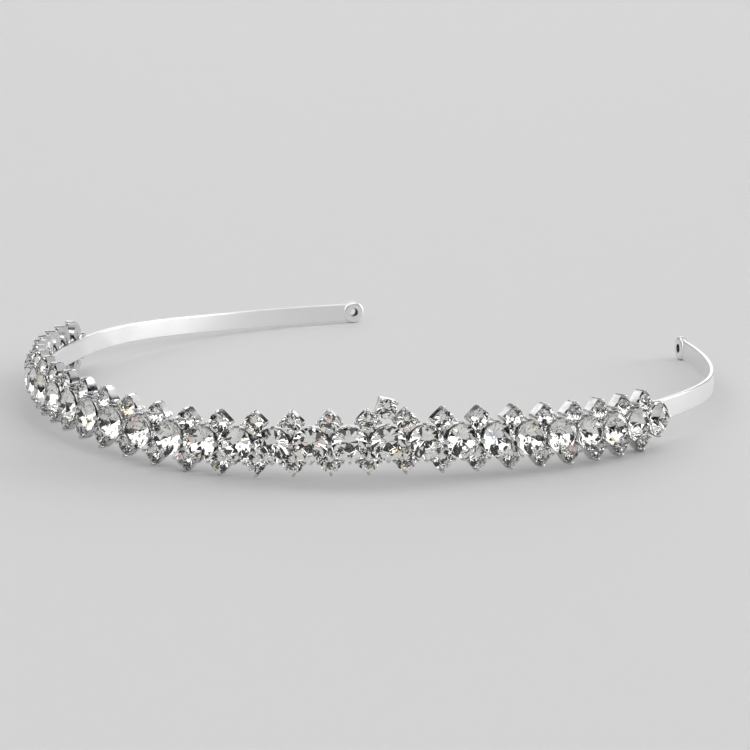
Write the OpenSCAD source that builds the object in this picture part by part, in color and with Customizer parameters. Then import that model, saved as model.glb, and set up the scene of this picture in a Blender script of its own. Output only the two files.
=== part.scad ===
// Rhinestone tiara: a flat metal headband lying on its edge, with a strip of
// round cut stones across the front and an eyelet at each end.
// Millimetres. X runs across the head, the forehead faces -Y, the two ends
// point to +Y, and Z is up from the surface that the tiara lies on.

/* [Headband] */
// Height of the band's flat strip
band_h = 4.5; // [4:0.1:5.6]
// Thickness of the band
band_t = 1; // [0.8:0.1:1.4]
// Radius of the band's centre line over the forehead
front_r = 62.6; // [55:0.2:75]
// Length of the forehead bend on each side of the middle
front_len = 35; // [25:1:45]
// Radius of the centre line at the temples
temple_r = 73.4; // [60:0.2:90]
// Length of the temple bend on each side
temple_len = 45; // [35:1:55]
// Radius of the centre line along the arms
arm_r = 109.4; // [95:0.2:140]
// Length of each arm, from the temple bend to the eyelet's middle
arm_len = 118.9; // [100:0.1:125]
// Height that the strip bows up by on each side of the forehead's middle
bow_rise = 2; // [0:0.1:2.4]

/* [Eyelets] */
// Outer diameter of the eyelet at each end
eyelet_d = 5.8; // [5.2:0.1:7]
// Thickness of the eyelet
eyelet_t = 1.8; // [1.5:0.1:2.4]
// Diameter of the hole in the eyelet
eyelet_hole_d = 2; // [1.2:0.1:2.4]
// Rounding of the eyelet's rims
eyelet_round = 0.7; // [0.3:0.05:0.7]

/* [Stones] */
// Number of large stones in the middle row, an even number
large_count = 30; // [20:2:32]
// Distance from one large stone to the next, along their widest level
pitch = 7.4; // [7.3:0.05:8]
// Diameter of a large stone
large_d = 6.9; // [6.4:0.05:6.9]
// Diameter of a small stone
small_d = 4; // [3.6:0.05:4]
// Height of a small stone's middle above or below the middle row
small_rise = 3.8; // [3.8:0.05:4.2]

/* [Crest stone] */
// Large stone that the crest stone stands above, counted from the -X end
crest_over = 21; // [3:1:28]
// Height of the crest stone's middle above the middle row
crest_rise = 6; // [6:0.05:6.6]
// Turn of the crest stone's square cup in its own plane, in degrees
crest_turn = -15; // [-20:1:20]
// Distance that the crest cup stands back from the other cups
crest_back = 1.4; // [1.3:0.05:1.6]

/* [Hidden] */
STONE_NODES = [for (i = [1:large_count]) stone_name(i)];

$fn = 64;
METAL = [0.80, 0.81, 0.83];
CLEAR_GLASS = [0.90, 0.93, 0.96];

// Gap between the band's face and the backs of the cups
seat_gap = 0.1;

// Chamfer along the band's edges, and the turn from one section to the next
band_chamfer = 0.25;
band_step = 2;

// Levels above the back of a cup, and radii round its middle
large_girdle = 3.6;
large_girdle_t = 0.15;
large_pavilion = 2.95;
large_crown = 1.15;
small_girdle = 2.3;
small_girdle_t = 0.12;
small_pavilion = 1.75;
small_crown = 0.7;
table_share = 0.56;
cup_r = 3.1;
cup_wall = 0.25;
cup_floor = 0.4;
cup_top = 2.95;
square_side = 3.6;
square_top = 1.8;
claw_w = 0.6;
small_claw_w = 0.5;
bar_w = 1.3;
bar_t = 0.45;

// Corners of a claw's side outline, as distance from the stone's middle and
// height above the cup's back
LARGE_CLAW = [[2.95, 1.0], [3.08, 0.7], [3.8, 3.4], [3.8, 4.1], [3.6, 4.4],
              [3.1, 4.4], [3.1, 4.12], [3.55, 3.95], [3.55, 3.4], [3.0, 2.0]];
SMALL_CLAW = [[2.2, 0.3], [2.5, 0.3], [2.62, 1.6], [2.62, 2.75], [2.45, 2.95],
              [1.85, 2.95], [1.85, 2.68], [2.12, 2.56], [2.12, 1.2]];
small_reach = 2.62;

// Plan of the centre line, one row for each bend of the +X side
BENDS = [
    // radius, length
    [front_r, front_len],
    [temple_r, temple_len],
    [arm_r, arm_len]
];
BEND_RADIUS = 0;
BEND_LENGTH = 1;

// Direction of the centre line where each bend starts and at the far end
function turn_of(bend) = bend[BEND_LENGTH] / bend[BEND_RADIUS] * 180 / PI;
function start_turn(k) = k == 0 ? 0 : start_turn(k - 1) + turn_of(BENDS[k - 1]);
END_TURN = start_turn(len(BENDS));

// Middle of each bend, with the front of the centre line at the height y = 0
function bend_centre(k) = k == 0
    ? [0, BENDS[0][BEND_RADIUS]]
    : bend_centre(k - 1)
      + (BENDS[k][BEND_RADIUS] - BENDS[k - 1][BEND_RADIUS])
        * [-sin(start_turn(k)), cos(start_turn(k))];
function bend_at(turn) = turn < start_turn(1) ? 0 : turn < start_turn(2) ? 1 : 2;

// Point at a distance outside the centre line where it runs at this turn
function line_point(turn, out = 0) =
    let (t = abs(turn), k = bend_at(t),
         p = bend_centre(k) + (BENDS[k][BEND_RADIUS] + out) * [sin(t), -cos(t)])
    [turn < 0 ? -p[0] : p[0], p[1]];

// Turn of the line at an arc length measured outside the centre line
function arc_to(k, out) = k == 0 ? 0
    : arc_to(k - 1, out)
      + turn_of(BENDS[k - 1]) * PI / 180 * (BENDS[k - 1][BEND_RADIUS] + out);
function turn_at_arc(arc, out) =
    let (a = abs(arc), k = a < arc_to(1, out) ? 0 : a < arc_to(2, out) ? 1 : 2,
         t = start_turn(k)
             + (a - arc_to(k, out)) / (BENDS[k][BEND_RADIUS] + out) * 180 / PI)
    arc < 0 ? -t : t;

cup_out = band_t / 2 + seat_gap;
girdle_out = cup_out + large_girdle;
function large_turn(i) = turn_at_arc((i - (large_count + 1) / 2) * pitch, girdle_out);
function gap_turn(i) = turn_at_arc((i - large_count / 2) * pitch, girdle_out);

// The strip lies on the tip of the lower cup in the middle of the forehead. It
// bows up on each side and comes down again at its ends, and from there the
// arms sink until the eyelets touch the same surface
strip_z = small_rise + small_reach;
sink_turn = large_turn(large_count);
sink_bias = 1.3;
bow_bias = 1.5;
function sink(turn) =
    let (share = max(0, END_TURN - abs(turn)) / (END_TURN - sink_turn))
    share >= 1 ? 1 : (1 - cos(180 * pow(share, sink_bias))) / 2;
function bow(turn) = abs(turn) >= sink_turn ? 0
    : pow(sin(180 * abs(turn) / sink_turn), bow_bias);
function line_z(turn) =
    eyelet_d / 2 + sink(turn) * (strip_z - eyelet_d / 2) + bow(turn) * bow_rise;

// Slope of the line at this turn, in degrees
function line_slope(turn) =
    let (step = 0.5, before = turn - step, after = turn + step)
    atan((line_z(after) - line_z(before))
         / norm(line_point(after, girdle_out) - line_point(before, girdle_out)));

// The origin is in the middle of the whole length, from the front claw to
// the back of the eyelets
front_y = -cup_out - LARGE_CLAW[4][1];
back_y = line_point(END_TURN)[1] + eyelet_round
         + (eyelet_d / 2 - eyelet_round) * sin(END_TURN)
         + (eyelet_t / 2 - eyelet_round) * abs(cos(END_TURN));
origin_y = (front_y + back_y) / 2;

function two_digits(i) = i < 10 ? str("0", i) : str(i);
function stone_name(i) = str("stone_", two_digits(i));

// Frame on the band at this turn: X along the band's slope, Y up across it, Z
// outward
module at_line(turn, out = 0) {
    p = line_point(turn, out);
    translate([p[0], p[1] - origin_y, line_z(turn)])
        rotate([90, 0, turn]) rotate([0, 0, line_slope(turn)]) children();
}

module at_cup(turn) {
    at_line(turn, cup_out) children();
}

// Corners of the band's cross-section, as distance outward and height
function band_section() =
    let (t = band_t / 2, h = band_h / 2, c = band_chamfer)
    [[t, c - h], [t, h - c], [t - c, h], [c - t, h],
     [-t, h - c], [-t, c - h], [c - t, -h], [t - c, -h]];

function section_ring(turn) =
    [for (corner = band_section())
        let (p = line_point(turn, corner[0]))
        [p[0], p[1] - origin_y, line_z(turn) + corner[1]]];

// Flat strip of the band, through one section every few degrees of its bend
module band_strip() {
    count = ceil(2 * END_TURN / band_step);
    corners = len(band_section());
    points = [for (k = [0:count]) each section_ring(END_TURN * (2 * k / count - 1))];
    sides = [for (k = [0:count - 1]) for (c = [0:corners - 1])
        let (n = k * corners, d = (c + 1) % corners)
        [n + c, n + d, n + corners + d, n + corners + c]];
    start = [for (c = [corners - 1:-1:0]) c];
    finish = [for (c = [0:corners - 1]) count * corners + c];
    polyhedron(points = points, faces = concat(sides, [start, finish]));
}

// Disc of the eyelet before its hole is cut, with rounded rims
module eyelet_disc() {
    rim = eyelet_d / 2 - eyelet_round;
    half = eyelet_t / 2 - eyelet_round;
    rotate_extrude() {
        translate([0, -eyelet_t / 2]) square([rim, eyelet_t]);
        translate([0, -half]) square([eyelet_d / 2, 2 * half]);
        for (level = [-half, half]) translate([rim, level])
            circle(r = eyelet_round, $fn = 32);
    }
}

module headband() {
    ends = [-END_TURN, END_TURN];
    color(METAL) difference() {
        union() {
            band_strip();
            for (turn = ends) at_line(turn) eyelet_disc();
        }
        for (turn = ends) at_line(turn)
            cylinder(d = eyelet_hole_d, h = 2 * eyelet_t, center = true);
    }
}

// A claw stands on the side of its cup and bends in over the stone's edge
module claw(outline, width, angle) {
    rotate([90, 0, angle]) linear_extrude(height = width, center = true)
        polygon(outline);
}

module round_cup() {
    difference() {
        cylinder(r = cup_r, h = cup_top);
        translate([0, 0, cup_floor]) cylinder(r = cup_r - cup_wall, h = cup_top);
    }
    for (angle = [90, 270]) claw(LARGE_CLAW, claw_w, angle);
}

// Square cup with a corner up and a corner down, and a claw at each corner
module square_cup() {
    rotate([0, 0, 45]) difference() {
        translate([-square_side / 2, -square_side / 2, 0])
            cube([square_side, square_side, square_top]);
        translate([cup_wall - square_side / 2, cup_wall - square_side / 2, cup_floor])
            cube([square_side - 2 * cup_wall, square_side - 2 * cup_wall, square_top]);
    }
    for (angle = [0, 90, 180, 270]) claw(SMALL_CLAW, small_claw_w, angle);
}

// Solder bar behind a gap in the middle row, with the claw that two large
// stones share
module gap_bar() {
    stem_t = 0.26;
    stem_w = 1;
    head_w = 1.1;
    head_bottom = 4.15;
    head_top = LARGE_CLAW[4][1];
    translate([-bar_w / 2, -small_rise, 0]) cube([bar_w, 2 * small_rise, bar_t]);
    translate([-stem_t / 2, -stem_w / 2, bar_t / 2])
        cube([stem_t, stem_w, head_bottom + 0.1 - bar_t / 2]);
    translate([-head_w / 2, -stem_w / 2, head_bottom])
        cube([head_w, stem_w, head_top - head_bottom]);
}

module stone_settings() {
    color(METAL) {
        for (i = [1:large_count]) at_cup(large_turn(i)) round_cup();
        at_cup(large_turn(1)) claw(LARGE_CLAW, claw_w, 180);
        at_cup(large_turn(large_count)) claw(LARGE_CLAW, claw_w, 0);
        for (i = [1:large_count - 1]) at_cup(gap_turn(i)) {
            gap_bar();
            for (side = [-1, 1]) translate([0, side * small_rise, 0]) square_cup();
        }
        at_crest() square_cup();
    }
}

module at_crest() {
    at_cup(large_turn(crest_over)) translate([0, crest_rise, -crest_back])
        rotate([0, 0, crest_turn + 45]) children();
}

// A cut stone with an eight-sided table: eight kites and sixteen small facets
// above the girdle, and the same number below it, ending in a point
function ring(count, r, z, first = 0) =
    [for (k = [0:count - 1]) let (a = first + k * 360 / count)
        [r * cos(a), r * sin(a), z]];

module cut_stone(r, girdle_z, girdle_t, crown, pavilion) {
    half = 360 / 16;
    table_r = r * table_share;
    upper_r = r * (1 + table_share) / 2;
    lower_r = r * 0.55;
    top = girdle_z + girdle_t;
    // Heights that keep the kites flat
    upper_z = top + crown * (r - upper_r * cos(half)) / (r - table_r);
    lower_z = girdle_z - pavilion * (r - lower_r * cos(half)) / r;
    points = concat(
        ring(8, table_r, top + crown),
        ring(8, upper_r, upper_z, half),
        ring(16, r, top),
        ring(16, r, girdle_z),
        ring(8, lower_r, lower_z, half),
        [[0, 0, girdle_z - pavilion]]);
    TABLE = 0;
    UPPER = 8;
    TOP = 16;
    BOTTOM = 32;
    LOWER = 48;
    POINT = 56;
    eight = [0:7];
    faces = concat(
        [[for (k = [7:-1:0]) TABLE + k]],
        [for (k = eight) [TABLE + k, TABLE + (k + 1) % 8, UPPER + k]],
        [for (k = eight) [TABLE + k, UPPER + k, TOP + 2 * k, UPPER + (k + 7) % 8]],
        [for (k = eight) [UPPER + k, TOP + 2 * k + 1, TOP + 2 * k]],
        [for (k = eight) [UPPER + k, TOP + (2 * k + 2) % 16, TOP + 2 * k + 1]],
        [for (k = [0:15]) [TOP + k, TOP + (k + 1) % 16, BOTTOM + (k + 1) % 16, BOTTOM + k]],
        [for (k = eight) [LOWER + k, BOTTOM + 2 * k, BOTTOM + 2 * k + 1]],
        [for (k = eight) [LOWER + k, BOTTOM + 2 * k + 1, BOTTOM + (2 * k + 2) % 16]],
        [for (k = eight) [POINT, LOWER + (k + 7) % 8, BOTTOM + 2 * k, LOWER + k]]);
    polyhedron(points = points, faces = faces);
}

module large_stone() {
    cut_stone(large_d / 2, large_girdle, large_girdle_t, large_crown, large_pavilion);
}

module small_stone() {
    cut_stone(small_d / 2, small_girdle, small_girdle_t, small_crown, small_pavilion);
}

module middle_row_stone(i) {
    color(CLEAR_GLASS) at_cup(large_turn(i)) large_stone();
}

module small_row(side) {
    color(CLEAR_GLASS) for (i = [1:large_count - 1]) at_cup(gap_turn(i))
        translate([0, side * small_rise, 0]) small_stone();
}

module upper_stones() { small_row(1); }

module lower_stones() { small_row(-1); }

module crest_stone() {
    color(CLEAR_GLASS) at_crest() small_stone();
}

headband();
stone_settings();
for (i = [1:large_count]) middle_row_stone(i);
upper_stones();
lower_stones();
crest_stone();
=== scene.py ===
"""Rhinestone tiara: the looks of a polished headband with a soldered strip of foiled glass stones.

The CAD frame gives the size and place of every node. Shapes are modelled in millimetres, in which
bmesh's own tolerances work well, and are scaled to metres when they are placed.
"""
import math
import random
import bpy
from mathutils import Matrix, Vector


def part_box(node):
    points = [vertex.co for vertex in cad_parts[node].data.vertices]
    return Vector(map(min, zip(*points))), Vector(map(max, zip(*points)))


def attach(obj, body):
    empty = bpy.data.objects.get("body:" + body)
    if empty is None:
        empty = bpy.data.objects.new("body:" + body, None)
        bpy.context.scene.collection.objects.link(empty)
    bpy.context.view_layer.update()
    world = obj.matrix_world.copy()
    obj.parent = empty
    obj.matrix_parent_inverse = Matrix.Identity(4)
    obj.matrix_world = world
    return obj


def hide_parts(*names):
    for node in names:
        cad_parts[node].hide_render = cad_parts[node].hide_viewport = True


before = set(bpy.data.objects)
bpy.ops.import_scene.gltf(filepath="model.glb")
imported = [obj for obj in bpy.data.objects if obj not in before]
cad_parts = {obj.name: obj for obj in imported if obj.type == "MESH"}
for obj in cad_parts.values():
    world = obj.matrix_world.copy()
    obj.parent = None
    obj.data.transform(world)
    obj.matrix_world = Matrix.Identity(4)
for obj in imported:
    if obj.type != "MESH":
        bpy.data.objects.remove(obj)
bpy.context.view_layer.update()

from types import SimpleNamespace

import bmesh
import bpy
from bpy.props import FloatProperty, FloatVectorProperty, IntProperty, PointerProperty
from mathutils import Matrix, Vector

MM = 0.001

bl_info = {
    "name": "Rhinestone Tiara",
    "version": (1, 0, 0),
    "blender": (4, 5, 0),
    "location": "3D View > Sidebar > Tiara",
    "description": "Models the looks of a rhinestone tiara round its CAD frame",
    "category": "Add Mesh",
}


# Sizes and colours

def length(name, description, millimetres):
    """A length property, kept in metres."""
    return FloatProperty(name=name, description=description, default=millimetres * MM,
                         min=0, precision=5, unit="LENGTH", subtype="DISTANCE")


def angle(name, description, degrees):
    """An angle property, kept in radians."""
    return FloatProperty(name=name, description=description, default=math.radians(degrees),
                         unit="ROTATION", subtype="ANGLE")


def share(name, description, value, most=1.0):
    """A plain number between 0 and a limit."""
    return FloatProperty(name=name, description=description, default=value,
                         min=0, max=most, precision=3)


def colour(name, description, hex_value):
    """A colour property, from an sRGB hex value."""
    return FloatVectorProperty(name=name, description=description, default=linear(hex_value),
                               size=3, min=0, max=1, subtype="COLOR")


def linear(hex_value):
    """The linear red, green and blue of an sRGB hex value."""
    parts = [int(hex_value[k:k + 2], 16) / 255 for k in (1, 3, 5)]
    return tuple(c / 12.92 if c <= 0.04045 else ((c + 0.055) / 1.055) ** 2.4 for c in parts)


class BandSizes(bpy.types.PropertyGroup):
    """The flat strip and its eyelets."""
    front_r: length("Forehead radius", "Radius of the centre line over the forehead", 62.6)
    front_len: length("Forehead bend", "Length of the forehead bend on each side", 35)
    temple_r: length("Temple radius", "Radius of the centre line at the temples", 73.4)
    temple_len: length("Temple bend", "Length of the temple bend on each side", 45)
    arm_r: length("Arm radius", "Radius of the centre line along the arms", 109.4)
    arm_len: length("Arm length", "Length from the temple bend to the eyelet's middle", 118.9)
    bow_rise: length("Bow", "Height that the strip bows up by on each side of the forehead's middle", 2)
    height: length("Height", "Height of the flat strip", 4.5)
    thickness: length("Thickness", "Thickness of the flat strip", 1)
    edge_round: length("Edge rounding", "Rounding of the strip's four edges", 0.3)
    ring_step: length("Ring step", "Distance between two cross-sections of the strip", 1.6)
    eyelet_d: length("Eyelet diameter", "Outer diameter of the eyelet", 5.8)
    eyelet_t: length("Eyelet thickness", "Thickness of the eyelet", 1.8)
    eyelet_hole_d: length("Eyelet hole", "Diameter of the eyelet's hole", 2)
    eyelet_round: length("Eyelet rounding", "Rounding of the eyelet's rims", 0.7)
    hole_round: length("Hole rounding", "Rounding of the hole's rims", 0.2)


class SettingSizes(bpy.types.PropertyGroup):
    """The row of cups, their claws and the bars behind them."""
    large_count: IntProperty(name="Large stones", description="Stones in the middle row", default=30)
    pitch: length("Pitch", "Distance between two large stones at their widest level", 7.4)
    small_rise: length("Small rise", "Height of a small stone above or below the middle row", 3.8)
    seat_gap: length("Seat gap", "Gap between the band and the backs of the cups", 0.1)
    cup_r: length("Round cup radius", "Outer radius of a round cup", 3.1)
    cup_top: length("Round cup height", "Height of a round cup", 2.95)
    cup_wall: length("Cup wall", "Thickness of a cup's wall", 0.25)
    cup_floor: length("Cup floor", "Thickness of a cup's floor", 0.4)
    square_side: length("Square cup side", "Side of a square cup", 3.6)
    square_top: length("Square cup height", "Height of a square cup", 1.8)
    claw_w: length("Claw width", "Width of a large stone's claw", 0.6)
    small_claw_w: length("Small claw width", "Width of a small stone's claw", 0.5)
    bar_w: length("Bar width", "Width of a solder bar behind a gap", 1.3)
    bar_t: length("Bar thickness", "Thickness of a solder bar", 0.45)
    crest_over: IntProperty(name="Crest place", description="Large stone below the crest stone",
                            default=21)
    crest_rise: length("Crest rise", "Height of the crest stone above the middle row", 6)
    crest_back: length("Crest setback", "Distance that the crest cup stands back", 1.4)
    crest_turn: angle("Crest turn", "Turn of the crest cup in its own plane", -15)


class StoneSizes(bpy.types.PropertyGroup):
    """The cut of the large and the small stones."""
    large_d: length("Large diameter", "Diameter of a large stone", 6.9)
    large_girdle: length("Large girdle", "Level of a large stone's girdle above the cup's back", 3.6)
    large_girdle_t: length("Large girdle thickness", "Thickness of a large stone's girdle", 0.15)
    large_crown: length("Large crown", "Height of a large stone's crown", 1.15)
    large_pavilion: length("Large pavilion", "Depth of a large stone's pavilion", 2.95)
    small_d: length("Small diameter", "Diameter of a small stone", 4)
    small_girdle: length("Small girdle", "Level of a small stone's girdle above the cup's back", 2.3)
    small_girdle_t: length("Small girdle thickness", "Thickness of a small stone's girdle", 0.12)
    small_crown: length("Small crown", "Height of a small stone's crown", 0.7)
    small_pavilion: length("Small pavilion", "Depth of a small stone's pavilion", 1.75)
    table_share: share("Table share", "Table's radius as a share of the stone's", 0.56)
    edge: length("Facet edge", "Width of the polish along the edges between facets", 0.05)
    tilt: angle("Tilt", "Most that a stone sits out of true in its cup", 1)
    seed: IntProperty(name="Seed", description="Start of the draws that turn and tilt stones",
                      default=7)


class Finishes(bpy.types.PropertyGroup):
    """The colours of the metals, the glass, the foil and the floor."""
    plating: colour("Plating", "Satin plating of the band", "#F2F2F3")
    # Painted shade: the dark grey colour of the eyelets' holes
    bore: colour("Bore", "Dull plating inside the eyelets' holes", "#6A6967")
    cup_plating: colour("Cup plating", "Tumbled plating of the cups and claws", "#E2E3E6")
    solder: colour("Solder", "Duller patches where the bars are soldered", "#BFBDB6")
    glass: colour("Glass", "Clear cut glass", "#FEFEFE")
    foil: colour("Foil", "Silver foil behind the glass", "#FAFAF8")
    floor: colour("Floor", "Plain pale floor", "#CFCFCF")


class StageSizes(bpy.types.PropertyGroup):
    """The camera, the lights and the floor."""
    focal_length: length("Focal length", "Focal length of the camera", 105.6)
    sensor_width: length("Sensor width", "Width of the camera's sensor", 36)
    azimuth: angle("Azimuth", "Direction of the camera, round from the forehead", 26.58)
    pitch: angle("Pitch", "Angle of the camera below the horizon", 11.85)
    roll: angle("Roll", "Roll of the camera", 1.2)
    camera_place: FloatVectorProperty(name="Camera place", description="Place of the camera", size=3,
                                      default=(0.2164, -0.4309, 0.1062), unit="LENGTH",
                                      subtype="TRANSLATION")
    floor_r: length("Floor radius", "Radius of the floor", 9000)
    room: share("Room", "Brightness of the dim room round the lights", 0.015)


GROUPS = {
    "tiara_band": BandSizes,
    "tiara_settings": SettingSizes,
    "tiara_stones": StoneSizes,
    "tiara_finishes": Finishes,
    "tiara_stage": StageSizes,
}


def in_mm(group):
    """The sizes of a property group, with its lengths in millimetres."""
    values = {}
    for prop in group.bl_rna.properties:
        if prop.identifier in group.__annotations__:
            value = getattr(group, prop.identifier)
            values[prop.identifier] = value / MM if prop.unit == "LENGTH" else value
    return SimpleNamespace(**values)


# The centre line, which every piece follows

class CentreLine:
    """Plan and height of the band's centre line, in millimetres."""

    def __init__(self, band, cups, stones):
        self.bends = [(band.front_r, band.front_len), (band.temple_r, band.temple_len),
                      (band.arm_r, band.arm_len)]
        self.starts = [0.0]
        self.centres = [Vector((0, band.front_r))]
        for radius, arc in self.bends:
            self.starts.append(self.starts[-1] + arc / radius)
        for k in (1, 2):
            step = self.bends[k][0] - self.bends[k - 1][0]
            turn = self.starts[k]
            self.centres.append(self.centres[-1] + step * Vector((-math.sin(turn), math.cos(turn))))
        self.end = self.starts[-1]
        low, high = (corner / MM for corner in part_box("headband"))
        self.origin_y = -low.y - band.thickness / 2
        self.bow_rise = band.bow_rise
        self.strip_z = high.z - band.height / 2 - self.bow_rise
        self.eyelet_z = low.z + band.eyelet_d / 2
        self.cup_out = band.thickness / 2 + cups.seat_gap
        self.girdle_out = self.cup_out + stones.large_girdle
        self.pitch = cups.pitch
        self.count = cups.large_count
        # Powers that shape the way down to the eyelets and the bow
        self.sink_power = 1.3
        self.bow_power = 1.5
        self.sink = self.large_turn(self.count)

    def bend_at(self, turn):
        """The bend that holds this turn."""
        return 0 if turn < self.starts[1] else 1 if turn < self.starts[2] else 2

    def point(self, turn, out=0.0):
        """Plan of the point at a distance outside the line where it runs at this turn."""
        side, t = math.copysign(1, turn), abs(turn)
        k = self.bend_at(t)
        reach = self.bends[k][0] + out
        x = self.centres[k].x + reach * math.sin(t)
        return Vector((side * x, self.centres[k].y - reach * math.cos(t) - self.origin_y))

    def turn_at(self, arc, out):
        """Turn of the line at an arc length measured outside it."""
        left = abs(arc)
        for k, (radius, stretch) in enumerate(self.bends):
            scaled = stretch * (radius + out) / radius
            if left <= scaled or k == 2:
                return math.copysign(self.starts[k] + left / (radius + out), arc)
            left -= scaled

    def large_turn(self, i):
        return self.turn_at((i - (self.count + 1) / 2) * self.pitch, self.girdle_out)

    def gap_turn(self, i):
        return self.turn_at((i - self.count / 2) * self.pitch, self.girdle_out)

    def height(self, turn):
        """Height of the line: a bow on each side of the forehead, then down to the eyelets."""
        away = abs(turn)
        left = max(0.0, self.end - away) / (self.end - self.sink)
        rise = 1.0 if left >= 1 else (1 - math.cos(math.pi * left ** self.sink_power)) / 2
        bow = 0.0 if away >= self.sink else math.sin(math.pi * away / self.sink) ** self.bow_power
        return self.eyelet_z + rise * (self.strip_z - self.eyelet_z) + bow * self.bow_rise

    def slope(self, turn):
        """Slope of the line at this turn."""
        step = math.radians(0.5)
        along = self.point(turn + step, self.girdle_out) - self.point(turn - step, self.girdle_out)
        return math.atan((self.height(turn + step) - self.height(turn - step)) / along.length)

    def place(self, turn, out=0.0):
        """Frame on the line: X along the band's slope, Y up across it, Z outward."""
        p = self.point(turn, out)
        return (Matrix.Translation((p.x, p.y, self.height(turn))) @ Matrix.Rotation(turn, 4, "Z")
                @ Matrix.Rotation(math.pi / 2, 4, "X") @ Matrix.Rotation(self.slope(turn), 4, "Z"))

    def cup(self, turn):
        return self.place(turn, self.cup_out)


def sizes():
    """All size groups in millimetres, and the centre line that they give."""
    scene = bpy.context.scene
    band, cups, stones = (in_mm(getattr(scene, name))
                          for name in ("tiara_band", "tiara_settings", "tiara_stones"))
    return SimpleNamespace(band=band, cups=cups, stones=stones, line=CentreLine(band, cups, stones))


def crest_place(s):
    """Frame of the crest cup's back."""
    return (s.line.cup(s.line.large_turn(s.cups.crest_over))
            @ Matrix.Translation((0, s.cups.crest_rise, -s.cups.crest_back))
            @ Matrix.Rotation(s.cups.crest_turn + math.pi / 4, 4, "Z"))


def small_places(s, sides=(-1, 1)):
    """Frames of the small cups' backs, above and below the gaps."""
    return [s.line.cup(s.line.gap_turn(i)) @ Matrix.Translation((0, side * s.cups.small_rise, 0))
            for i in range(1, s.cups.large_count) for side in sides]


def large_places(s):
    """Frames of the large cups' backs."""
    return [s.line.cup(s.line.large_turn(i)) for i in range(1, s.cups.large_count + 1)]


# Mesh helpers

# Corners that are closer than this many millimetres are one
TOUCH = 1e-4

# Angles between faces above which an edge stays sharp
STRIP_SHARP = math.radians(35)
CUP_SHARP = math.radians(50)
FACET_SHARP = 0.01


def bevel(bm, geom, width, segments=1, affect="EDGES"):
    """Rounds these edges or corners."""
    bmesh.ops.bevel(bm, geom=geom, offset=width, offset_type="OFFSET", segments=segments,
                    profile=0.5, affect=affect, clamp_overlap=True, material=-1)


def extrude_face(bm, face, move):
    """Pulls a copy of a face along a vector, with walls between the two."""
    made = bmesh.ops.extrude_face_region(bm, geom=[face])["geom"]
    bmesh.ops.translate(bm, verts=[v for v in made if isinstance(v, bmesh.types.BMVert)], vec=move)


def sink_face(bm, face, move):
    """Pulls a face into the solid that it closes."""
    extrude_face(bm, face, move)
    bmesh.ops.delete(bm, geom=[face], context="FACES_ONLY")


def block(bm, x, y, z_low, z_high):
    """A block with its middle over the origin."""
    made = bmesh.ops.create_cube(bm, size=1.0)
    bmesh.ops.scale(bm, verts=made["verts"], vec=(x, y, z_high - z_low))
    bmesh.ops.translate(bm, verts=made["verts"], vec=(0, 0, (z_low + z_high) / 2))


def upright_edges(bm):
    """The edges that run from one level to another."""
    return [e for e in bm.edges if abs(e.verts[0].co.z - e.verts[1].co.z) > 0.1]


def outline_face(bm, points):
    """One face through a few points."""
    return bm.faces.new([bm.verts.new(p) for p in points])


def shape_of(bm):
    """Makes a plain mesh of a finished shape, to be repeated."""
    bmesh.ops.recalc_face_normals(bm, faces=bm.faces)
    mesh = bpy.data.meshes.new("shape")
    bm.to_mesh(mesh)
    bm.free()
    return mesh


def joined(parts):
    """A bmesh of (shape, place) parts. Nothing is deleted, so each new shape's corners come last."""
    bm = bmesh.new()
    for shape, place in parts:
        before = len(bm.verts)
        bm.from_mesh(shape)
        bm.verts.ensure_lookup_table()
        bmesh.ops.transform(bm, matrix=place, verts=bm.verts[before:])
    return bm


def repeated(shape, places):
    """A bmesh with one shape at every place."""
    return joined([(shape, place) for place in places])


def finish_piece(bm, name, materials, nodes, sharp):
    """Turns a shape in millimetres into a piece that rides on the tiara and replaces its CAD nodes."""
    bmesh.ops.scale(bm, vec=(MM, MM, MM), verts=bm.verts)
    mesh = bpy.data.meshes.new(name)
    bm.to_mesh(mesh)
    bm.free()
    for material in materials:
        mesh.materials.append(material)
    mesh.shade_smooth()
    mesh.set_sharp_from_angle(angle=sharp)
    piece = bpy.data.objects.new(name, mesh)
    bpy.context.scene.collection.objects.link(piece)
    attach(piece, "root")
    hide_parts(*nodes)
    return piece


# Materials

def add_node(tree, kind, inputs=None, **settings):
    """Adds a shader node with its own settings, and inputs that are values or other nodes' outputs."""
    node = tree.nodes.new(kind)
    for key, value in settings.items():
        setattr(node, key, value)
    for key, value in (inputs or {}).items():
        if isinstance(value, bpy.types.NodeSocket):
            tree.links.new(value, node.inputs[key])
        else:
            node.inputs[key].default_value = value
    return node


def new_material(name):
    """An empty material, reused if it is already there."""
    material = bpy.data.materials.get(name) or bpy.data.materials.new(name)
    material.use_nodes = True
    material.node_tree.nodes.clear()
    return material, material.node_tree


def output(tree, surface):
    add_node(tree, "ShaderNodeOutputMaterial", {"Surface": surface})


def ramp(tree, factor, stops, interpolation="LINEAR"):
    """A colour ramp through (position, colour) stops."""
    node = add_node(tree, "ShaderNodeValToRGB", {"Fac": factor})
    node.color_ramp.interpolation = interpolation
    while len(node.color_ramp.elements) < len(stops):
        node.color_ramp.elements.new(0.5)
    for element, (position, value) in zip(node.color_ramp.elements, stops):
        element.position = position
        element.color = (*value, 1)
    return node.outputs["Color"]


def noise(tree, place, millimetres, detail):
    """Soft noise, with patches about this many millimetres across."""
    return add_node(tree, "ShaderNodeTexNoise", {"Vector": place, "Scale": 1 / (millimetres * MM),
                                                 "Detail": detail})


def grey(value):
    return (value, value, value)


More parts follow.
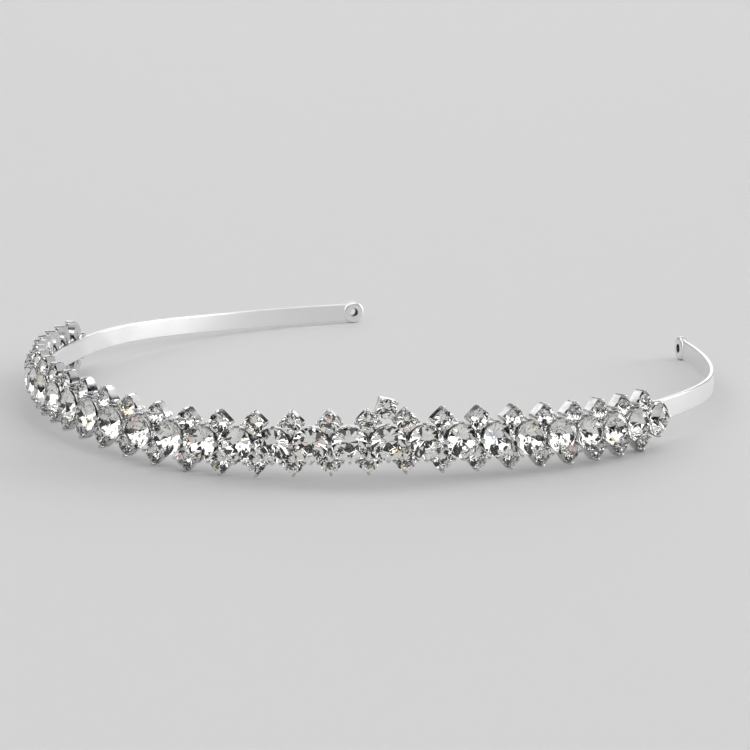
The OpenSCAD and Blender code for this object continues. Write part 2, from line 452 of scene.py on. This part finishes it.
def satin_plating():
    """Bright plating on a rolled steel strip, brushed satin: a broad soft sheen with no grain that
    shows, a little uneven along the strip as a rolled surface is."""
    colours = bpy.context.scene.tiara_finishes
    material, tree = new_material("satin_plating")
    place = add_node(tree, "ShaderNodeTexCoord").outputs["Object"]
    # The strip's slow waves are about 14 mm long, and patches of haze about 5 mm
    waves = noise(tree, place, 14, 1)
    haze = noise(tree, place, 5, 1)
    gloss = add_node(tree, "ShaderNodeMapRange", {"Value": haze.outputs["Fac"], "From Min": 0.3,
                                                  "From Max": 0.75, "To Min": 0.3, "To Max": 0.36})
    swell = add_node(tree, "ShaderNodeBump", {"Height": waves.outputs["Fac"], "Strength": 0.3,
                                              "Distance": 0.1 * MM})
    shader = add_node(tree, "ShaderNodeBsdfPrincipled", {
        "Base Color": (*colours.plating, 1), "Metallic": 1.0,
        "Roughness": gloss.outputs["Result"], "Normal": swell.outputs["Normal"]})
    output(tree, shader.outputs["BSDF"])
    return material


def painted_shade_bore():
    """Plating in a punched hole, matt and dark grey: painted shade that stands for the dark of the
    hole, mottled with darker specks."""
    colours = bpy.context.scene.tiara_finishes
    material, tree = new_material("painted_shade_bore")
    place = add_node(tree, "ShaderNodeTexCoord").outputs["Object"]
    # The painted shade is mottled with specks about 0.3 mm across
    specks = noise(tree, place, 0.3, 1)
    tone = ramp(tree, specks.outputs["Fac"], [(0.3, tuple(c / 3 for c in colours.bore)),
                                              (0.6, tuple(colours.bore))])
    shader = add_node(tree, "ShaderNodeBsdfPrincipled", {
        "Base Color": tone, "Metallic": 1.0, "Roughness": 0.55})
    output(tree, shader.outputs["BSDF"])
    return material


def tumbled_plating():
    """Plated brass cups, stamped and tumbled: bright but softer than the band, with dull grey
    patches where solder ran."""
    colours = bpy.context.scene.tiara_finishes
    material, tree = new_material("tumbled_plating")
    place = add_node(tree, "ShaderNodeTexCoord").outputs["Object"]
    # Solder runs in patches about 2.5 mm across, and tumbling leaves dimples about 0.35 mm apart
    runs = noise(tree, place, 2.5, 3)
    dimples = noise(tree, place, 0.35, 2)
    tone = ramp(tree, runs.outputs["Fac"], [(0.35, tuple(colours.cup_plating)),
                                            (0.75, tuple(colours.solder))])
    gloss = add_node(tree, "ShaderNodeMapRange", {"Value": runs.outputs["Fac"], "From Min": 0.35,
                                                  "From Max": 0.75, "To Min": 0.12, "To Max": 0.3})
    relief = add_node(tree, "ShaderNodeBump", {"Height": dimples.outputs["Fac"], "Strength": 0.3,
                                               "Distance": 0.03 * MM})
    shader = add_node(tree, "ShaderNodeBsdfPrincipled", {
        "Base Color": tone, "Metallic": 1.0, "Roughness": gloss.outputs["Result"],
        "Normal": relief.outputs["Normal"]})
    output(tree, shader.outputs["BSDF"])
    return material


def cut_glass():
    """Machine-cut clear crystal glass: water-clear with a fire-polished skin, and a slightly higher
    index than window glass, which gives the facets their strong edges."""
    colours = bpy.context.scene.tiara_finishes
    material, tree = new_material("cut_crystal_glass")
    shader = add_node(tree, "ShaderNodeBsdfPrincipled", {
        "Base Color": (*colours.glass, 1), "Transmission Weight": 1.0, "Roughness": 0.0, "IOR": 1.56})
    output(tree, shader.outputs["BSDF"])
    return material


def silver_foil():
    """Vacuum-laid silver foil on the back of the glass: a mirror that is seen only through the
    crown. A few cells take a faint tint: painted colour glints that stand for the fire of the glass."""
    colours = bpy.context.scene.tiara_finishes
    material, tree = new_material("silver_foil")
    place = add_node(tree, "ShaderNodeTexCoord").outputs["Object"]
    # One cell is about as large as a pavilion facet of a small stone
    cells = add_node(tree, "ShaderNodeTexVoronoi", {"Vector": place, "Scale": 1 / (1.3 * MM)})
    lot = add_node(tree, "ShaderNodeSeparateColor", {"Color": cells.outputs["Color"]})
    plain = tuple(colours.foil)
    # Painted colour glints: under one cell in twenty is tinted blue, cream or peach
    tone = ramp(tree, lot.outputs["Red"], [
        (0.0, linear("#E0E9FF")), (0.01, linear("#FFF5DC")), (0.03, linear("#FFECE3")),
        (0.045, plain)], "CONSTANT")
    shader = add_node(tree, "ShaderNodeBsdfPrincipled", {
        "Base Color": tone, "Metallic": 1.0, "Roughness": 0.03})
    output(tree, shader.outputs["BSDF"])
    return material


def studio_floor():
    """A sheet of matt pale paper board, with a grain too fine to show but for a soft unevenness."""
    colours = bpy.context.scene.tiara_finishes
    material, tree = new_material("pale_board")
    place = add_node(tree, "ShaderNodeTexCoord").outputs["Object"]
    grain = noise(tree, place, 2, 2)
    relief = add_node(tree, "ShaderNodeBump", {"Height": grain.outputs["Fac"], "Strength": 0.05,
                                               "Distance": 0.02 * MM})
    shader = add_node(tree, "ShaderNodeBsdfPrincipled", {
        "Base Color": (*colours.floor, 1), "Roughness": 0.75, "Normal": relief.outputs["Normal"]})
    output(tree, shader.outputs["BSDF"])
    return material


# Headband

def strip_section(bm, band):
    """Rounded cross-section of the strip, at the middle of the forehead."""
    t, h = band.thickness / 2, band.height / 2
    outline_face(bm, [(0, -t, -h), (0, t, -h), (0, t, h), (0, -t, h)])
    bevel(bm, bm.verts[:], band.edge_round, 4, "VERTICES")
    return bm.faces[:]


def bend_strip(bm, ring, s):
    """Spins the section round one bend after another, in short steps that follow the line's height."""
    line, turn = s.line, 0.0
    # The strip ends inside the eyelet's ring, short of its hole
    last_turn = line.end - (s.band.eyelet_hole_d / 2 + s.band.eyelet_round) / s.band.arm_r
    for k, (radius, _) in enumerate(line.bends):
        finish = min(line.starts[k + 1], last_turn)
        steps = math.ceil((finish - turn) * radius / s.band.ring_step)
        step = (finish - turn) / steps
        centre = (*line.centres[k], 0)
        for _ in range(steps):
            ring = bmesh.ops.spin(bm, geom=ring, cent=centre, axis=(0, 0, 1), angle=step,
                                  steps=1)["geom_last"]
            drop = line.height(turn + step) - line.height(turn)
            verts = [v for v in ring if isinstance(v, bmesh.types.BMVert)]
            bmesh.ops.translate(bm, verts=verts, vec=(0, 0, drop))
            turn += step


def headband_strip(s):
    """The flat strip from eyelet to eyelet: one half is spun, and the other is its mirror image."""
    bm = bmesh.new()
    ring = strip_section(bm, s.band)
    bend_strip(bm, ring + bm.edges[:] + bm.verts[:], s)
    seam = [f for f in bm.faces if all(abs(v.co.x) < TOUCH for v in f.verts)]
    bmesh.ops.delete(bm, geom=seam, context="FACES_ONLY")
    bmesh.ops.mirror(bm, geom=bm.verts[:] + bm.edges[:] + bm.faces[:], axis="X", merge_dist=TOUCH)
    bmesh.ops.remove_doubles(bm, verts=bm.verts, dist=TOUCH)
    bmesh.ops.translate(bm, verts=bm.verts, vec=(0, -s.line.origin_y, s.line.strip_z))
    return shape_of(bm)


def eyelet_shape(s):
    """Ring of the eyelet, its section rounded and spun once round the hole."""
    band = s.band
    hole, rim, half = band.eyelet_hole_d / 2, band.eyelet_d / 2, band.eyelet_t / 2
    bm = bmesh.new()
    outline_face(bm, [(hole, 0, -half), (rim, 0, -half), (rim, 0, half), (hole, 0, half)])
    bevel(bm, [v for v in bm.verts if v.co.x > hole], band.eyelet_round, 5, "VERTICES")
    bevel(bm, [v for v in bm.verts if abs(v.co.x - hole) < TOUCH], band.hole_round, 3, "VERTICES")
    edges = bm.edges[:]
    bmesh.ops.delete(bm, geom=bm.faces[:], context="FACES_ONLY")
    bmesh.ops.spin(bm, geom=edges, cent=(0, 0, 0), axis=(0, 0, 1), angle=2 * math.pi, steps=48,
                   use_merge=True)
    bmesh.ops.remove_doubles(bm, verts=bm.verts, dist=TOUCH)
    # Faces in the hole take the dark grey material of painted shade
    for face in bm.faces:
        in_bore = face.calc_center_median().xy.length < hole + band.hole_round / 2
        face.material_index = 1 if in_bore else 0
    return shape_of(bm)


# Settings

# Roundings of the stamped and folded metal, in millimetres
CUP_FOOT_ROUND = 0.3
CUP_RIM_ROUND = 0.08
FOLD_ROUND = 0.35
CLAW_ROUND = 0.09
BAR_ROUND = 0.12
STEM_ROUND = 0.05
HEAD_CORNER_ROUND = 0.34
HEAD_RIM_ROUND = 0.1


def round_cup_shape(cups):
    """A stamped round cup with a thin wall."""
    bm = bmesh.new()
    made = bmesh.ops.create_cone(bm, cap_ends=True, segments=32, radius1=cups.cup_r,
                                 radius2=cups.cup_r, depth=cups.cup_top)
    bmesh.ops.translate(bm, verts=made["verts"], vec=(0, 0, cups.cup_top / 2))
    top = max(bm.faces, key=lambda f: f.calc_center_median().z)
    bottom = min(bm.faces, key=lambda f: f.calc_center_median().z)
    bevel(bm, bottom.edges[:], CUP_FOOT_ROUND, 2)
    bmesh.ops.inset_region(bm, faces=[top], thickness=cups.cup_wall, use_even_offset=True)
    sink_face(bm, top, (0, 0, cups.cup_floor - cups.cup_top))
    rims = [e for e in bm.edges if all(abs(v.co.z - cups.cup_top) < TOUCH for v in e.verts)
            and abs(e.verts[0].co.xy.length - e.verts[1].co.xy.length) < 10 * TOUCH]
    bevel(bm, rims, CUP_RIM_ROUND)
    return shape_of(bm)


def square_cup_shape(cups):
    """A square cup on its corner: folded walls with rounded corners."""
    bm = bmesh.new()
    block(bm, cups.square_side, cups.square_side, 0, cups.square_top)
    bevel(bm, upright_edges(bm), FOLD_ROUND, 2)
    top = max(bm.faces, key=lambda f: f.calc_center_median().z)
    bmesh.ops.inset_region(bm, faces=[top], thickness=cups.cup_wall, use_even_offset=True)
    sink_face(bm, top, (0, 0, cups.cup_floor - cups.square_top))
    bmesh.ops.rotate(bm, verts=bm.verts, cent=(0, 0, 0), matrix=Matrix.Rotation(math.pi / 4, 3, "Z"))
    return shape_of(bm)


def claw_shape(outline, width):
    """A claw: its side outline given a width, with every edge rounded."""
    bm = bmesh.new()
    face = outline_face(bm, [(reach, width / 2, level) for reach, level in outline])
    extrude_face(bm, face, (0, -width, 0))
    bevel(bm, bm.edges[:], CLAW_ROUND)
    return shape_of(bm)


# Corners of a claw's side outline, as distance from the stone's middle and height above the cup's back
LARGE_CLAW = [(2.95, 1.0), (3.08, 0.7), (3.8, 3.4), (3.8, 4.1), (3.6, 4.4),
              (3.1, 4.4), (3.1, 4.12), (3.55, 3.95), (3.55, 3.4), (3.0, 2.0)]
SMALL_CLAW = [(2.2, 0.3), (2.5, 0.3), (2.61, 1.6), (2.61, 2.75), (2.45, 2.95),
              (1.85, 2.95), (1.85, 2.68), (2.12, 2.56), (2.12, 1.2)]


def turned(place, degrees):
    """A frame turned about its own outward axis."""
    return place @ Matrix.Rotation(math.radians(degrees), 4, "Z")


def large_claw_places(s):
    """A claw above and below each large stone, and one at each end of the row."""
    cups = large_places(s)
    return ([turned(cup, a) for cup in cups for a in (90, 270)]
            + [turned(cups[0], 180), turned(cups[-1], 0)])


def small_claw_places(s):
    """A claw at each corner of each small cup."""
    return [turned(cup, a) for cup in [*small_places(s), crest_place(s)] for a in (0, 90, 180, 270)]


# The claw that two large stones share, in millimetres: its stem, its head's size and levels, and
# how far the stem reaches into the head
STEM_T, STEM_W = 0.26, 1
HEAD_W, HEAD_H = 1.0, 0.9
HEAD_LOW, HEAD_HIGH = 4.15, LARGE_CLAW[4][1]
STEM_IN = 0.1


def bar_shape(x, y, z_low, z_high, width):
    """A bar with rounded edges."""
    bm = bmesh.new()
    block(bm, x, y, z_low, z_high)
    bevel(bm, bm.edges[:], width, 2)
    return shape_of(bm)


def claw_head_shape():
    """The flat head of a shared claw: a small plate with round corners."""
    bm = bmesh.new()
    block(bm, HEAD_W, HEAD_H, HEAD_LOW, HEAD_HIGH)
    bevel(bm, upright_edges(bm), HEAD_CORNER_ROUND, 3)
    rim = [e for e in bm.edges if min(v.co.z for v in e.verts) > HEAD_HIGH - HEAD_RIM_ROUND]
    bevel(bm, rim, HEAD_RIM_ROUND, 2)
    return shape_of(bm)


def gap_places(s):
    """Frames of the backs of the gaps in the middle row."""
    return [s.line.cup(s.line.gap_turn(i)) for i in range(1, s.cups.large_count)]


# Stones

# Where the lower facets meet, as a share of the stone's radius
LOWER_SHARE = 0.55


def cut_facets(bm, count, first, inner, outer):
    """Grinds facets through two levels: inner and outer are (distance from the middle, level)."""
    slope = Vector((outer[1] - inner[1], 0, inner[0] - outer[0]))
    if slope.x < 0:
        slope = -slope
    for k in range(count):
        spin = Matrix.Rotation(first + k * 2 * math.pi / count, 3, "Z")
        cut = bmesh.ops.bisect_plane(
            bm, geom=bm.verts[:] + bm.edges[:] + bm.faces[:], dist=TOUCH / 10,
            plane_co=spin @ Vector((outer[0], 0, outer[1])), plane_no=spin @ slope, clear_outer=True)
        rim = [e for e in cut["geom_cut"] if isinstance(e, bmesh.types.BMEdge)]
        if rim:
            bmesh.ops.contextual_create(bm, geom=rim)


def stone_shape(r, girdle, girdle_t, crown, pavilion, table_share, edge):
    """A round cut stone, ground from a short rod: eight kites, eight stars and sixteen small facets
    above the girdle, sixteen small facets and eight kites below it."""
    half = math.pi / 8
    top, point = girdle + girdle_t, girdle - pavilion
    table_r, upper_r, lower_r = r * table_share, r * (1 + table_share) / 2, r * LOWER_SHARE
    # Levels that keep the kites flat
    upper_z = top + crown * (r - upper_r * math.cos(half)) / (r - table_r)
    lower_z = girdle - pavilion * (r - lower_r * math.cos(half)) / r
    near, wide = math.cos(half / 2), math.cos(half)
    bm = bmesh.new()
    made = bmesh.ops.create_cone(bm, cap_ends=True, segments=16, radius1=r, radius2=r,
                                 depth=top + crown - point)
    bmesh.ops.translate(bm, verts=made["verts"], vec=(0, 0, (top + crown + point) / 2))
    cut_facets(bm, 16, half / 2, (upper_r * near, upper_z), (r * near, top))
    cut_facets(bm, 8, 0, (table_r, top + crown), (r, top))
    cut_facets(bm, 8, half, (table_r * wide, top + crown), (upper_r, upper_z))
    cut_facets(bm, 16, half / 2, (lower_r * near, lower_z), (r * near, girdle))
    cut_facets(bm, 8, 0, (0, point), (r, girdle))
    bmesh.ops.remove_doubles(bm, verts=bm.verts, dist=TOUCH)
    bmesh.ops.recalc_face_normals(bm, faces=bm.faces)
    # The facets that look back carry the foil
    for face in bm.faces:
        face.material_index = 1 if face.normal.z < -0.1 else 0
    bevel(bm, bm.edges[:], edge)
    return shape_of(bm)


def stone_shapes(s):
    """The large and the small stone."""
    st = s.stones
    return (stone_shape(st.large_d / 2, st.large_girdle, st.large_girdle_t, st.large_crown,
                        st.large_pavilion, st.table_share, st.edge),
            stone_shape(st.small_d / 2, st.small_girdle, st.small_girdle_t, st.small_crown,
                        st.small_pavilion, st.table_share, st.edge))


def seated(draw, place, level, tilt):
    """A stone's frame in its cup: turned freely about its own axis and a little out of true."""
    lean_x = Matrix.Rotation(draw.uniform(-tilt, tilt), 4, "X")
    lean_y = Matrix.Rotation(draw.uniform(-tilt, tilt), 4, "Y")
    turn = Matrix.Rotation(draw.uniform(0, math.pi / 4), 4, "Z")
    up = Matrix.Translation((0, 0, level))
    return place @ up @ lean_x @ lean_y @ turn @ up.inverted()


# Operators

class TIARA_OT_headband(bpy.types.Operator):
    """Model the flat strip and its two eyelets"""
    bl_idname = "tiara.headband"
    bl_label = "Headband"

    def execute(self, context):
        s = sizes()
        eyelet = eyelet_shape(s)
        bm = joined([(headband_strip(s), Matrix()), (eyelet, s.line.place(-s.line.end)),
                     (eyelet, s.line.place(s.line.end))])
        piece = finish_piece(bm, "polished_headband", [satin_plating(), painted_shade_bore()], ["headband"],
                             STRIP_SHARP)
        piece.modifiers.new("flat faces stay flat", "WEIGHTED_NORMAL").keep_sharp = True
        return {"FINISHED"}


class TIARA_OT_settings(bpy.types.Operator):
    """Model the cups, claws and solder bars of the strip"""
    bl_idname = "tiara.settings"
    bl_label = "Stone settings"

    def execute(self, context):
        s = sizes()
        metal, cups = [tumbled_plating()], s.cups
        small = [*small_places(s), crest_place(s)]
        bar = bar_shape(cups.bar_w, 2 * cups.small_rise, 0, cups.bar_t, BAR_ROUND)
        stem = bar_shape(STEM_T, STEM_W, cups.bar_t / 2, HEAD_LOW + STEM_IN, STEM_ROUND)
        groups = {
            "round_cups": repeated(round_cup_shape(cups), large_places(s)),
            "square_cups": repeated(square_cup_shape(cups), small),
            "large_claws": repeated(claw_shape(LARGE_CLAW, cups.claw_w), large_claw_places(s)),
            "small_claws": repeated(claw_shape(SMALL_CLAW, cups.small_claw_w), small_claw_places(s)),
            "solder_bars": repeated(bar, gap_places(s)),
            "shared_claw_stems": repeated(stem, gap_places(s)),
            "shared_claw_heads": repeated(claw_head_shape(), gap_places(s)),
        }
        for name, bm in groups.items():
            finish_piece(bm, name, metal, ["stone_settings"], CUP_SHARP)
        return {"FINISHED"}


class TIARA_OT_stones(bpy.types.Operator):
    """Cut the large and the small stones and seat them in their cups"""
    bl_idname = "tiara.stones"
    bl_label = "Stones"

    def execute(self, context):
        s = sizes()
        st = s.stones
        glass = [cut_glass(), silver_foil()]
        large, small = stone_shapes(s)
        draw = random.Random(st.seed)
        for i, place in enumerate(large_places(s), 1):
            bm = repeated(large, [seated(draw, place, st.large_girdle, st.tilt)])
            finish_piece(bm, f"cut_stone_{i:02d}", glass, [f"stone_{i:02d}"], FACET_SHARP)
        rows = {"upper_stones": small_places(s, (1,)), "lower_stones": small_places(s, (-1,)),
                "crest_stone": [crest_place(s)]}
        for node, places in rows.items():
            bm = repeated(small, [seated(draw, p, st.small_girdle, st.tilt) for p in places])
            finish_piece(bm, f"cut_{node}", glass, [node], FACET_SHARP)
        return {"FINISHED"}


class TIARA_OT_stage(bpy.types.Operator):
    """Set the floor, the lights and the camera"""
    bl_idname = "tiara.stage"
    bl_label = "Stage"

    def execute(self, context):
        scene = context.scene
        stage = scene.tiara_stage
        bm = bmesh.new()
        bmesh.ops.create_circle(bm, cap_ends=True, radius=stage.floor_r, segments=64)
        mesh = bpy.data.meshes.new("floor")
        bm.to_mesh(mesh)
        bm.free()
        mesh.materials.append(studio_floor())
        floor = bpy.data.objects.new("floor", mesh)
        scene.collection.objects.link(floor)
        add_lights(scene, stage)
        add_camera(scene, stage)
        return {"FINISHED"}


# Soft discs of light, far enough away to light the whole floor evenly: direction round from the
# forehead, height above the floor and apparent width in degrees, and strength in W/m2
SOFTBOXES = {
    "overhead_softbox": (190, 78, 60, 0.5),
    "front_left_softbox": (-18, 36, 52, 1.1),
    "front_right_softbox": (70, 36, 42, 0.8),
    "camera_softbox": (27, 66, 36, 0.4),
    "left_softbox": (-94, 40, 50, 0.7),
    "low_right_softbox": (136, 10, 36, 2.0),
    "high_back_softbox": (148, 44, 40, 0.35),
    "low_back_softbox": (206, 18, 40, 0.5),
}


def add_lights(scene, stage):
    """The softboxes in a dim room."""
    world = bpy.data.worlds.new("dim_studio")
    world.use_nodes = True
    world.node_tree.nodes["Background"].inputs["Color"].default_value = (*grey(stage.room), 1)
    scene.world = world
    scene.view_settings.view_transform = "Standard"
    for name, (azimuth, elevation, width, strength) in SOFTBOXES.items():
        light = bpy.data.lights.new(name, "SUN")
        light.angle = math.radians(width)
        light.energy = strength
        lamp = bpy.data.objects.new(name, light)
        a, e = math.radians(azimuth), math.radians(elevation)
        toward = Vector((math.sin(a) * math.cos(e), -math.cos(a) * math.cos(e), math.sin(e)))
        lamp.rotation_mode = "QUATERNION"
        lamp.rotation_quaternion = toward.to_track_quat("Z", "Y")
        scene.collection.objects.link(lamp)


# Nearest distance in metres that the camera draws
NEAREST = 0.01


def add_camera(scene, stage):
    """The camera at the photograph's angle and distance."""
    lens = bpy.data.cameras.new("camera")
    lens.lens = stage.focal_length / MM
    lens.sensor_width = stage.sensor_width / MM
    lens.clip_start = NEAREST
    camera = bpy.data.objects.new("camera", lens)
    camera.location = stage.camera_place
    camera.rotation_mode = "QUATERNION"
    look = (Matrix.Rotation(stage.azimuth, 3, "Z") @ Matrix.Rotation(math.pi / 2 - stage.pitch, 3, "X")
            @ Matrix.Rotation(stage.roll, 3, "Z"))
    camera.rotation_quaternion = look.to_quaternion()
    scene.collection.objects.link(camera)
    scene.camera = camera


class TIARA_PT_sidebar(bpy.types.Panel):
    """The tiara's pieces and sizes"""
    bl_label = "Tiara"
    bl_idname = "TIARA_PT_sidebar"
    bl_space_type = "VIEW_3D"
    bl_region_type = "UI"
    bl_category = "Tiara"

    def draw(self, context):
        for operator in OPERATORS:
            self.layout.operator(operator.bl_idname)
        for name, group in GROUPS.items():
            box = self.layout.box()
            box.label(text=group.__doc__)
            for key in group.__annotations__:
                box.prop(getattr(context.scene, name), key)


OPERATORS = (TIARA_OT_stage, TIARA_OT_headband, TIARA_OT_settings, TIARA_OT_stones)
CLASSES = (*GROUPS.values(), *OPERATORS, TIARA_PT_sidebar)


def register():
    for cls in CLASSES:
        bpy.utils.register_class(cls)
    for name, group in GROUPS.items():
        setattr(bpy.types.Scene, name, PointerProperty(type=group))


def unregister():
    for name in GROUPS:
        delattr(bpy.types.Scene, name)
    for cls in reversed(CLASSES):
        bpy.utils.unregister_class(cls)


def main():
    register()
    bpy.ops.tiara.stage()
    bpy.ops.tiara.headband()
    bpy.ops.tiara.settings()
    bpy.ops.tiara.stones()


if __name__ == "__main__":
    main()
